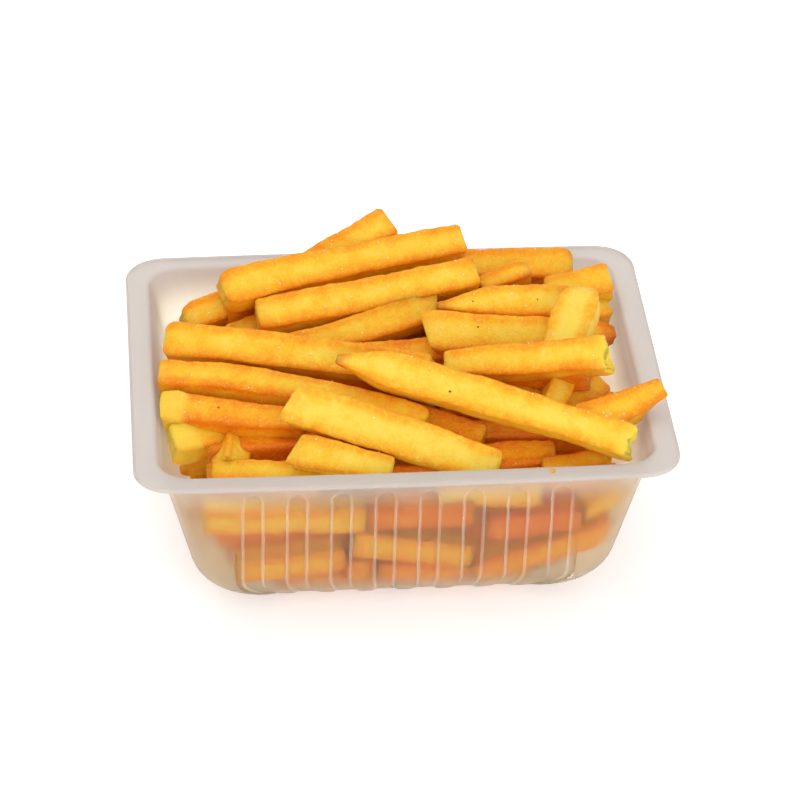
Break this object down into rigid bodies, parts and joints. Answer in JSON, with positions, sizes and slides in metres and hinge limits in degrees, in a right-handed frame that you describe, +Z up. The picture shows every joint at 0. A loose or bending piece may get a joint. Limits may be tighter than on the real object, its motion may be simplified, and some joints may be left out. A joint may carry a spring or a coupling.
{
  "type": "french fries in a plastic tray",
  "caption": "Cooked potato fries heaped above the rim of a thin translucent plastic tray with a flat flange, leaning end walls and upright flutes along its long walls",
  "frame": {"origin": "the middle of the tray's flat underside", "axes": "+X along the tray's long side, to the right as the picture shows it; +Y towards the back wall; +Z up"},
  "size_m": [0.16, 0.1254, 0.0744],
  "materials": {
    "frosted_plastic": "frosted, translucent",
    "fried_potato": "dry, lightly crisped"
  },
  "bodies": {
    "root": {"tray": "frosted_plastic", "fries": "fried_potato"}
  },
  "joints": []
}
